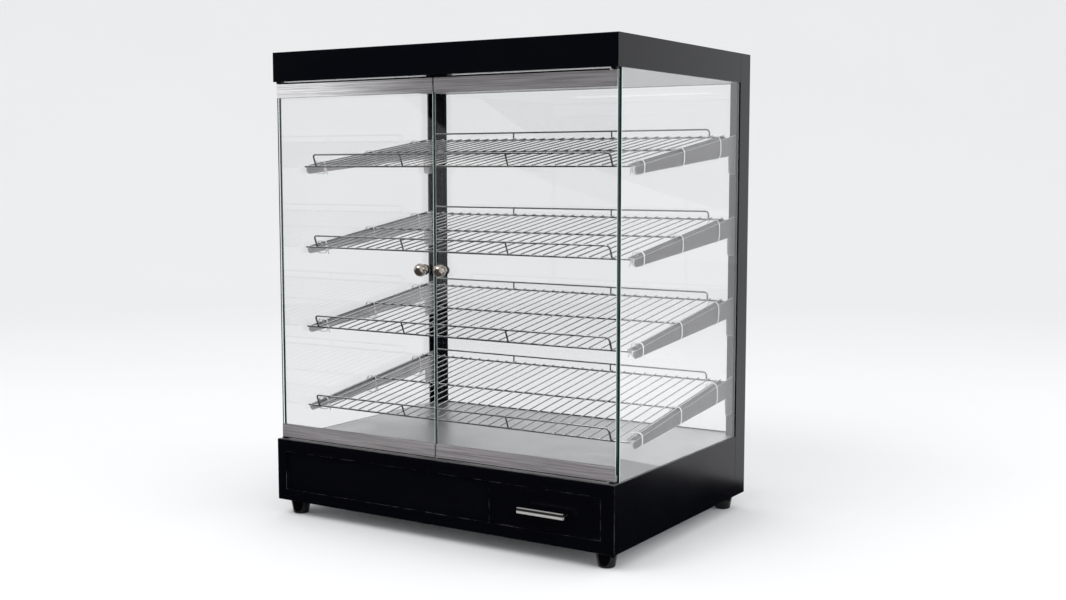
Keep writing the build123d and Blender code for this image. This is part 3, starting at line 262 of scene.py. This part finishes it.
def pane(name, across):
    """Clear float glass with ground edges. across is the pane's thin axis."""
    s = Shader(name, (0.985, 0.99, 0.987), 0.012, ior=1.5)
    s.set("Transmission Weight", 1.0)
    haze = s.noise(3, detail=5)
    s.link(s.tint(s.ramp(haze, 0.0, 1.0, 0.35, 0.7), 0.008), s.bsdf.inputs["Base Color"])
    s.relief(s.noise(4, detail=1), 0.00004, 0.12)
    normal = s.node("ShaderNodeSeparateXYZ")
    s.link(s.coord.outputs["Normal"], normal.inputs[0])
    facing = s.math("ABSOLUTE", normal.outputs[across])
    side = s.ramp(facing, 1.0, 0.0, 0.75, 0.9)
    arris = s.ramp(facing, 0.0, 1.0, 0.3, 0.6)
    edge = s.node("ShaderNodeBsdfPrincipled")
    edge.inputs["Roughness"].default_value = 0.12
    edge.inputs["IOR"].default_value = 1.5
    grind = s.noise(500, (1, 1, 0.1), detail=3)
    depth = s.mix(grind, (0.004, 0.012, 0.014), (0.012, 0.03, 0.03))
    s.link(s.mix(arris, depth, (0.72, 0.84, 0.8)), edge.inputs["Base Color"])
    body = s.node("ShaderNodeMixShader")
    s.link(side, body.inputs[0])
    s.link(s.bsdf.outputs[0], body.inputs[1])
    s.link(edge.outputs[0], body.inputs[2])
    # lamps and the sky reach what is behind the pane
    clear = s.node("ShaderNodeBsdfTransparent")
    clear.inputs["Color"].default_value = (0.94, 0.95, 0.945, 1)
    path = s.node("ShaderNodeLightPath")
    both = s.node("ShaderNodeMixShader")
    s.link(path.outputs["Is Shadow Ray"], both.inputs[0])
    s.link(body.outputs[0], both.inputs[1])
    s.link(clear.outputs[0], both.inputs[2])
    s.link(both.outputs[0], s.out.inputs["Surface"])
    return s.mat


def bracket_sheet(name, inside, shaded_outside):
    """Nickel-plated sheet with painted shade on its outer faces and on top, and a painted highlight along
    its folds.
    """
    s = Shader(name, inside, 0.42, metallic=0.5)
    grain = s.noise(850, (1, 0.012, 1), detail=4, rough=0.7)
    place = s.node("ShaderNodeSeparateXYZ")
    s.link(s.coord.outputs["Object"], place.inputs[0])
    # painted shade: the outer faces and the tops take the dark colour
    outer = s.ramp(s.math("ABSOLUTE", place.outputs[0]), 0.0, 1.0, 0.3171, 0.3178)
    shade_mask = s.math("MAXIMUM", outer, s.ramp(s.up(), 0.0, 1.0, 0.5, 0.9))
    skin = s.mix(shade_mask, s.tint(grain, 0.06), shaded_outside)
    # painted highlight: near-white along the folds and edges
    s.link(s.mix(s.edges(0.0014), skin, (0.97, 0.97, 0.97)), s.bsdf.inputs["Base Color"])
    s.link(s.ramp(grain, 0.36, 0.5, 0.3, 0.7), s.bsdf.inputs["Roughness"])
    s.relief(grain, 0.000012, 0.6)
    return s.mat


def lit_opal(name, color, glow):
    """Opal acrylic or a coated tube, softly lit from inside."""
    s = Shader(name, color, 0.35)
    cloud = s.noise(25, detail=3)
    s.link(s.tint(cloud, 0.04), s.bsdf.inputs["Base Color"])
    s.roughness(cloud, 0.3, 0.42)
    s.set("Emission Color", (1.0, 0.97, 0.9, 1))
    s.set("Emission Strength", glow)
    s.relief(s.noise(700, detail=1), 0.00003, 0.4)
    return s.mat


# ---------------------------------------------------------------- materials
# The tones are tuned to the view of the scene's own camera. The one black paint has three versions:
# the front's has brighter edges, a painted highlight, and the left post's has next to no sheen, a painted
# shade. The gradients and bands on the rails, the deck and the handle are painted reflections, and
# stay put in every view.
BLACK = painted("black_paint", (0.0018, 0.0021, 0.0036), 0.2, 0.5, (0.14, 0.14, 0.16), specular=0.22)
# copy of the black paint for the front frame and drawer front, with brighter edges in patches: a painted
# highlight
FRONT_BLACK_EDGE_HIGHLIGHT = painted("front_paint_edge_highlight", (0.0016, 0.0018, 0.003), 0.2, 0.9, (0.24, 0.24, 0.26),
                      specular=0.22)
# copy of the black paint for the left rear post only, with next to no sheen: a painted shade, while the
# right post keeps the plain black paint
POST_BLACK_SHADED = painted("post_paint_shaded", (0.0015, 0.002, 0.0045), 0.26, 0.0, specular=0.03)
# painted reflection: the top rails darken along X from their left end towards the middle
TOP_RAIL = brushed("rail_stainless", (0.76, 0.74, 0.75), 0.4, "X", 0.34, 700, 0.00004, 0.25,
                   painted_fade=(0, -0.31, 0.02, (0.25, 0.24, 0.245)))
# the bottom rails get a darker copy of the rail stainless: a painted shade
LOW_RAIL_SHADED = brushed("rail_stainless_low_shaded", (0.27, 0.255, 0.262), 0.4, "X", 0.35, 700, 0.00004, 0.25)
MATERIALS = {
    "black_paint": BLACK,
    # painted reflection: the deck is dark on its front strip and 2.3 times lighter just behind it
    "deck_stainless": brushed("deck_stainless", (0.3, 0.29, 0.3), 0.34, "X", 0.07, metallic=0.8,
                              painted_fade=(1, -0.2095, -0.2075, (2.3, 2.36, 2.3))),
    "ceiling_white": painted("ceiling_white", (0.84, 0.84, 0.83), 0.35, 0.1, (0.6, 0.6, 0.6)),
    "rail_stainless": TOP_RAIL,
    "wire_chrome": plated_wire("wire_chrome", (0.93, 0.93, 0.95), (0.13, 0.13, 0.14), 0.16),
    "bracket_steel": bracket_sheet("bracket_steel", (0.6, 0.58, 0.59), (0.115, 0.11, 0.116)),
    "knob_nickel": brushed("knob_nickel", (0.4, 0.355, 0.32), 0.17, "X", 0.25, 500, metallic=0.9),
    "pivot_black": moulded("pivot_black", (0.004, 0.004, 0.005), 0.25, specular=0.3),
    "zinc_steel": brushed("zinc_steel", (0.55, 0.56, 0.57), 0.36, "Y", 0.1, 300),
    "foot_plastic": moulded("foot_plastic", (0.002, 0.002, 0.0025), 0.1, specular=0.3),
    "black_plastic": moulded("black_plastic", (0.014, 0.014, 0.016), 0.36),
    "rocker_black": moulded("rocker_black", (0.02, 0.02, 0.022), 0.2),
    "white_plastic": moulded("white_plastic", (0.76, 0.74, 0.68), 0.45),
    "amber_lens": moulded("amber_lens", (0.7, 0.22, 0.02), 0.15),
    "lamp_lens": lit_opal("lamp_lens", (0.86, 0.86, 0.84), 1.5),
    "lamp_tube": lit_opal("lamp_tube", (0.9, 0.9, 0.88), 3.0),
    "element_steel": brushed("element_steel", (0.2, 0.17, 0.15), 0.45, "Y", 0.25, 200),
    "copper": brushed("copper", (0.62, 0.28, 0.15), 0.3, "Y", 0.15, 300),
    "tie_nylon": moulded("tie_nylon", (0.95, 0.95, 0.94), 0.38),
}
# copies of the wire's painted light: the guard wires' flanks are painted less dark, and the weld beads'
# flanks lighter still
GUARD_WIRE_LIT = plated_wire("guard_chrome_lit", (0.93, 0.93, 0.95), (0.2, 0.2, 0.21), 0.16)
BEAD = plated_wire("bead_chrome", (0.96, 0.96, 0.97), (0.5, 0.5, 0.5), 0.2)
# painted reflection: the handle is darker behind its front face, and a dark band runs across the top of its
# face
HANDLE = brushed("handle_nickel", (0.7, 0.68, 0.66), 0.3, "X", 0.1, 500, metallic=0.45,
                 painted_fade=(1, -0.2425, -0.241, (0.1, 0.1, 0.1)),
                 painted_band=(2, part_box("drawer_handle")[1][2] - 0.0024, 0.0026, (0.04, 0.04, 0.04)))
FRONT_PANE = pane("front_glass", 1)
SIDE_PANE = pane("side_glass", 0)


def paint(obj, material):
    """Shows one material on the whole of obj, whatever slots its mesh has."""
    if not obj.material_slots:
        obj.data.materials.append(material)
    for slot in obj.material_slots:
        slot.link = "OBJECT"
        slot.material = material


slot_of = {row["node"]: row["material_slot"] for row in frame["record"]["subparts"]}
for name, obj in NODES.items():
    slot = slot_of[name]
    if slot == "clear_glass":
        paint(obj, SIDE_PANE if name.startswith("side") else FRONT_PANE)
    # the bottom rails take the painted-shade copy of the rail stainless
    elif name.endswith("bottom_rail"):
        paint(obj, LOW_RAIL_SHADED)
    elif name.startswith("shelf_guards"):
        paint(obj, GUARD_WIRE_LIT)
    # the front frame and drawer front take the copy with the painted edge highlight
    elif name in ("front_frame", "drawer_front"):
        paint(obj, FRONT_BLACK_EDGE_HIGHLIGHT)
    # the left post takes the painted-shade copy of the black paint
    elif name == "rear_post_left":
        paint(obj, POST_BLACK_SHADED)
    elif name == "drawer_handle":
        paint(obj, HANDLE)
    else:
        paint(obj, MATERIALS[slot])


# ---------------------------------------------------------------- geometry helpers
def piece(name, bm, body, material, smooth=True):
    """Turns a bmesh into a finished piece that rides on a body."""
    bmesh.ops.recalc_face_normals(bm, faces=bm.faces)
    mesh = bpy.data.meshes.new(name)
    bm.to_mesh(mesh)
    bm.free()
    obj = bpy.data.objects.new(name, mesh)
    bpy.context.scene.collection.objects.link(obj)
    if smooth:
        for poly in mesh.polygons:
            poly.use_smooth = True
    obj.data.materials.append(material)
    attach(obj, body)
    return obj


def lathe(bm, origin, axis, profile, steps=48):
    """Turns (distance along axis, radius) pairs into a surface of revolution."""
    axis = Vector(axis).normalized()
    side = axis.orthogonal().normalized()
    other = axis.cross(side)
    rings = []
    for along, radius in profile:
        centre = Vector(origin) + axis * along
        if radius < 1e-7:
            rings.append([bm.verts.new(centre)])
            continue
        ring = []
        for k in range(steps):
            t = 2 * pi * k / steps
            ring.append(bm.verts.new(centre + (side * cos(t) + other * sin(t)) * radius))
        rings.append(ring)
    for a, b in zip(rings, rings[1:]):
        for k in range(steps):
            j = (k + 1) % steps
            corners = [a[k % len(a)], a[j % len(a)], b[j % len(b)], b[k % len(b)]]
            unique = list(dict.fromkeys(corners))
            if len(unique) > 2:
                bm.faces.new(unique)
    return rings


def rounded_box(bm, centre, size, turn=None, bevel=0.0005):
    """A small moulded block."""
    made = bmesh.ops.create_cube(bm, size=1.0)
    verts = made["verts"]
    matrix = Matrix.Translation(centre) @ (turn or Matrix.Identity(4)) @ Matrix.Diagonal((*size, 1))
    bmesh.ops.transform(bm, matrix=matrix, verts=verts)
    edges = {e for v in verts for e in v.link_edges}
    bmesh.ops.bevel(bm, geom=list(edges), offset=bevel, segments=2, affect="EDGES", profile=0.7)


# ---------------------------------------------------------------- measures of the shelves
LEVEL_COUNT = 4
SHELF_TILT = radians(8.4)
SHELF_DEPTH = 0.3346
SHELF_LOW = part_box("wire_shelf_1")[0]
LEVEL_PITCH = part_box("wire_shelf_2")[0][2] - SHELF_LOW[2]
FRONT_WIRE_Z = SHELF_LOW[2] + 0.0016
WIRE_PITCH, WIRE_COUNT, WIRE_SHIFT = 0.02055, 31, 0.0043
TIE_LOW, TIE_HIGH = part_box("shelf_ties")
TIE_HALF_WIDTH = 0.0013
FRONT_TIE_Y = TIE_LOW[1] + TIE_HALF_WIDTH
MIDDLE_TIE_Y = FRONT_TIE_Y + 0.133
REAR_TIE_Y = TIE_HIGH[1] - TIE_HALF_WIDTH
SHELF_FRONT_Y = FRONT_TIE_Y - 0.034
TIE_INNER, TIE_OUTER = 0.2992, 0.3197
TIE_OVER_WIRE = 0.0046
TIE_UNDER_BRACKET = 0.0016
BRACKET_DROP = 0.0125
BRACKET_NOSE = 0.018
BRACKET_SLOPE = 0.089


# ---------------------------------------------------------------- ties on the shelves
def strap_path(inner, outer, low, high, bow, count=72):
    """The tie's line round bracket and wires, seen from the front, as (x, z) pairs.

    It starts at the lower outer corner, bows outwards, and comes back round the wires."""
    middle_x, middle_z = (inner + outer) / 2, (low + high) / 2
    half_x, half_z = (outer - inner) / 2, (high - low) / 2
    points = []
    for k in range(count):
        t = 2 * pi * k / count
        c, s = cos(t), sin(t)
        x = middle_x + half_x * (abs(c) ** 0.55) * (1 if c > 0 else -1)
        z = middle_z + half_z * (abs(s) ** 0.55) * (1 if s > 0 else -1)
        if c > 0:
            x += bow * (1 - s * s)
        points.append((x, z))
    return points


def add_tie(bm, side, y, box, bow, lean):
    """One nylon tie: a flat strap in a closed loop, with its head and a cut tail."""
    inner, outer, low, high = box
    width, thick = 2 * TIE_HALF_WIDTH, 0.0009
    head_size, tail_size = (0.0034, 0.0046, 0.0050), (0.0009, 0.0024, 0.0080)
    path = strap_path(inner, outer, low, high, bow)
    rings = []
    count = len(path)
    for k, (x, z) in enumerate(path):
        px, pz = path[k - 1]
        nx, nz = path[(k + 1) % count]
        tangent = Vector((nx - px, 0, nz - pz)).normalized()
        outward = Vector((tangent.z, 0, -tangent.x))
        centre = Vector((x, y + lean * (z - (low + high) / 2), z))
        ring = []
        for dy, out in ((-0.5, -0.5), (-0.42, 0.5), (0.42, 0.5), (0.5, -0.5)):
            p = centre + outward * thick * out + Vector((0, dy * width, 0))
            ring.append(bm.verts.new((side * p.x, p.y, p.z)))
        rings.append(ring)
    for k in range(count):
        a, b = rings[k], rings[(k + 1) % count]
        for i in range(4):
            j = (i + 1) % 4
            bm.faces.new((a[i], a[j], b[j], b[i]))
    # the head sits under the shelf on the inner side, and the tail leaves it downwards
    head = Vector((side * (inner - 0.0012), y, low + 0.35 * (high - low)))
    rounded_box(bm, head, head_size, bevel=0.0006)
    tail = head + Vector((-side * 0.0022, 0, -0.0050))
    turn = Matrix.Rotation(side * 0.35, 4, "Y")
    rounded_box(bm, tail, tail_size, turn, bevel=0.0002)


bm = bmesh.new()
for level in range(LEVEL_COUNT):
    for index, y in enumerate((FRONT_TIE_Y, MIDDLE_TIE_Y, REAR_TIE_Y)):
        depth = y - SHELF_FRONT_Y
        wire_z = FRONT_WIRE_Z + level * LEVEL_PITCH
        top = wire_z + depth * tan(SHELF_TILT) + TIE_OVER_WIRE
        low = wire_z - BRACKET_DROP + BRACKET_SLOPE * (depth - BRACKET_NOSE) - TIE_UNDER_BRACKET
        # no two neighbouring ties sit quite alike
        uneven = (level * 7 + index * 3) % 5 - 2
        for side in (-1, 1):
            box = (TIE_INNER, TIE_OUTER, low, top)
            bow = 0.0006 + 0.0003 * index
            add_tie(bm, side, y + 0.0004 * uneven, box, bow, 0.01 * uneven)
ties = piece("cable_ties", bm, "cabinet", MATERIALS["tie_nylon"])
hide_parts("shelf_ties")


# ---------------------------------------------------------------- weld beads on the shelves
def bead(bm, centre, radius, tall):
    """A small flattened blob of weld metal."""
    made = bmesh.ops.create_icosphere(bm, subdivisions=1, radius=radius)
    squeeze = Matrix.Translation(centre) @ Matrix.Diagonal((1.0, 1.25, tall, 1))
    bmesh.ops.transform(bm, matrix=squeeze, verts=made["verts"])


bm = bmesh.new()
first_x = WIRE_SHIFT - WIRE_PITCH * (WIRE_COUNT - 1) / 2
for level in range(LEVEL_COUNT):
    for u in (0.0, SHELF_DEPTH / 2 + 0.008, SHELF_DEPTH):
        y = SHELF_FRONT_Y + u * cos(SHELF_TILT)
        z = FRONT_WIRE_Z + level * LEVEL_PITCH + u * sin(SHELF_TILT) + 0.0014
        for k in range(WIRE_COUNT):
            wobble = 0.00012 * ((k * 5 + level * 3) % 4)
            bead(bm, Vector((first_x + k * WIRE_PITCH, y, z)), 0.00165 + wobble, 0.8)
piece("weld_beads", bm, "cabinet", BEAD)

# ---------------------------------------------------------------- rings behind the knobs
for hand, body in (("left", "left_door"), ("right", "right_door")):
    low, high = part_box(f"{hand}_door_knob")
    pane_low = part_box(f"{hand}_door_glass")[0]
    x, z = (low[0] + high[0]) / 2, (low[2] + high[2]) / 2
    bm = bmesh.new()
    outline = [(0.0, 0.0066), (0.0, 0.0082), (0.0007, 0.0085), (0.0014, 0.0082), (0.0018, 0.0072)]
    lathe(bm, (x, pane_low[1], z), (0, -1, 0), outline)
    piece(f"{hand}_knob_washer", bm, body, MATERIALS["pivot_black"])

# ---------------------------------------------------------------- black strips on the door rails: partly a seal, partly painted shade in the gaps above and below the rails
# the black strips stand for a seal and for the painted shade of the gaps above and below each rail
SEAL_SHADE_DEPTH, TOP_SEAL_SHADE, BOTTOM_SEAL_SHADE = 0.005, 0.0022, 0.0012
PIVOT_CLEAR = 0.016
for hand, body in (("left", "left_door"), ("right", "right_door")):
    side = -1 if hand == "left" else 1
    bm = bmesh.new()
    for rail, tall in (("top", TOP_SEAL_SHADE), ("bottom", BOTTOM_SEAL_SHADE)):
        low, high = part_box(f"{hand}_door_{rail}_rail")
        z = high[2] + tall / 2 if rail == "top" else low[2] - tall / 2
        y = (low[1] + high[1]) / 2 - 0.0012
        length = high[0] - low[0] - PIVOT_CLEAR
        x = (low[0] + high[0]) / 2 - side * 0.006
        rounded_box(bm, Vector((x, y, z)), (length, SEAL_SHADE_DEPTH, tall), None, 0.0003)
    piece(f"{hand}_door_seals_and_shade", bm, body, MATERIALS["pivot_black"])

# ---------------------------------------------------------------- seal at the foot of the rear pane
pane_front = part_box("rear_glass")[0][1]
deck_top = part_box("deck")[1][2]
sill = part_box("rear_sill")
bm = bmesh.new()
seal_at = Vector((0, pane_front - 0.0006, deck_top + 0.0009))
rounded_box(bm, seal_at, (sill[1][0] - sill[0][0] - 0.004, 0.0012, 0.0018), None, 0.0003)
piece("rear_glass_seal", bm, "cabinet", MATERIALS["black_plastic"])

# ---------------------------------------------------------------- marks round the dial
dial_low, dial_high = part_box("thermostat_dial")
panel_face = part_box("rear_service_panel")[1][1]
dial_x, dial_z = (dial_low[0] + dial_high[0]) / 2, (dial_low[2] + dial_high[2]) / 2
MARK_COUNT, MARK_RING, MARK_THICK = 10, 0.0215, 0.0002
LONG_MARK, SHORT_MARK = 0.0036, 0.0022
bm = bmesh.new()
for k in range(MARK_COUNT):
    turn = radians(30 * k)
    spot = Vector((dial_x - MARK_RING * sin(turn), panel_face + MARK_THICK / 2,
                   dial_z + MARK_RING * cos(turn)))
    size = (0.0009, MARK_THICK, LONG_MARK if k % 3 == 0 else SHORT_MARK)
    rounded_box(bm, spot, size, Matrix.Rotation(-turn, 4, "Y"), 0.00005)
piece("dial_marks", bm, "cabinet", MATERIALS["white_plastic"], smooth=False)

# ---------------------------------------------------------------- studio
floor_mat = Shader("studio_floor", (0.85, 0.85, 0.855), 0.6, specular=0.0)
floor_mat.link(floor_mat.tint(floor_mat.noise(1.2, detail=3), 0.015), floor_mat.bsdf.inputs["Base Color"])


def stage_plane(name, corners, material):
    mesh = bpy.data.meshes.new(name)
    mesh.from_pydata(corners, [], [tuple(range(len(corners)))])
    obj = bpy.data.objects.new(name, mesh)
    bpy.context.scene.collection.objects.link(obj)
    obj.data.materials.append(material)
    return obj


FLOOR_REACH = 6
stage_plane("floor", [(-FLOOR_REACH, -FLOOR_REACH, 0), (FLOOR_REACH, -FLOOR_REACH, 0),
                      (FLOOR_REACH, FLOOR_REACH, 0), (-FLOOR_REACH, FLOOR_REACH, 0)], floor_mat.mat)

# pale sweep all round, which only shows behind the object and never shades it
bm = bmesh.new()
rise = [(4.0 + 3.0 * sin(t * pi / 36), 3.0 - 3.0 * cos(t * pi / 36)) for t in range(19)]
sweep_outline = [(-0.002, 3.0)] + [(up - 0.002, out) for out, up in rise] + [(12.0, 7.0)]
lathe(bm, (0, 0, 0), (0, 0, 1), sweep_outline, 96)
sweep_mesh = bpy.data.meshes.new("sweep")
bm.to_mesh(sweep_mesh)
bm.free()
for poly in sweep_mesh.polygons:
    poly.use_smooth = True
sweep = bpy.data.objects.new("sweep", sweep_mesh)
bpy.context.scene.collection.objects.link(sweep)
sweep.data.materials.append(floor_mat.mat)
for flag in ("visible_diffuse", "visible_glossy", "visible_shadow", "visible_volume_scatter"):
    setattr(sweep, flag, False)

# black cards, which only mirrored light meets, so that the black front doesn't mirror a pale floor
card_mat = Shader("black_card", (0.0, 0.0, 0.0), 1.0, specular=0.0)
card_path = card_mat.node("ShaderNodeLightPath")
card_clear = card_mat.node("ShaderNodeBsdfTransparent")
card_mix = card_mat.node("ShaderNodeMixShader")
mirrored = card_mat.math("GREATER_THAN", card_path.outputs["Glossy Depth"], 0.5)
card_mat.link(mirrored, card_mix.inputs[0])
card_mat.link(card_clear.outputs[0], card_mix.inputs[1])
card_mat.link(card_mat.bsdf.outputs[0], card_mix.inputs[2])
card_mat.link(card_mix.outputs[0], card_mat.out.inputs["Surface"])
front_y = cad_box[0][1]
right_x = cad_box[1][0]
CARD_LEFT, CARD_RIGHT, CARD_Y, CARD_TOP = -8, 3, -5, 5
LIFT = 0.001
cards = [
    stage_plane("card_front", [(CARD_LEFT, CARD_Y, 0), (CARD_RIGHT, CARD_Y, 0),
                               (CARD_RIGHT, CARD_Y, CARD_TOP), (CARD_LEFT, CARD_Y, CARD_TOP)], card_mat.mat),
    stage_plane("card_floor", [(CARD_LEFT, CARD_Y, LIFT), (CARD_RIGHT, CARD_Y, LIFT),
                               (right_x + 0.1, front_y + 0.03, LIFT),
                               (CARD_LEFT, front_y + 0.03, LIFT)], card_mat.mat),
    stage_plane("card_side", [(right_x + 0.01, front_y, LIFT), (1.1, front_y, LIFT),
                              (1.6, 0.66, LIFT), (right_x + 0.01, 0.4, LIFT)], card_mat.mat),
]
for card in cards:
    card.visible_camera = False
    card.visible_shadow = False
    card.visible_diffuse = False

world = bpy.data.worlds.new("studio")
world.use_nodes = True
background = world.node_tree.nodes["Background"]
background.inputs["Color"].default_value = (0.93, 0.94, 0.95, 1)
background.inputs["Strength"].default_value = 1.0
bpy.context.scene.world = world
bpy.context.scene.view_settings.view_transform = "Standard"


def area_light(name, place, target, size, power, color=(1, 1, 1)):
    data = bpy.data.lights.new(name, "AREA")
    data.shape = "RECTANGLE"
    data.size, data.size_y = size
    data.energy = power
    data.color = color
    obj = bpy.data.objects.new(name, data)
    bpy.context.scene.collection.objects.link(obj)
    obj.location = place
    obj.rotation_euler = (Vector(target) - Vector(place)).to_track_quat("-Z", "Y").to_euler()
    return obj


area_light("key", (-0.6, -2.2, 3.0), (0, 0, 0.4), (2.2, 1.6), 45)
area_light("side", (3.2, 0.8, 1.8), (0, 0, 0.45), (1.8, 1.8), 30)

YAW, PITCH = radians(-32.207), radians(5.517)
FOCAL_PIXELS, IMAGE_WIDTH, SENSOR = 1350.8, 1066, 36
camera_data = bpy.data.cameras.new("camera")
camera_data.sensor_width = SENSOR
camera_data.lens = FOCAL_PIXELS * SENSOR / IMAGE_WIDTH
camera = bpy.data.objects.new("camera", camera_data)
camera.location = (1.263, -1.9318, 0.5918)
look = Vector((sin(YAW) * cos(PITCH), cos(YAW) * cos(PITCH), -sin(PITCH)))
camera.rotation_euler = look.to_track_quat("-Z", "Y").to_euler()
bpy.context.scene.collection.objects.link(camera)
bpy.context.scene.camera = camera
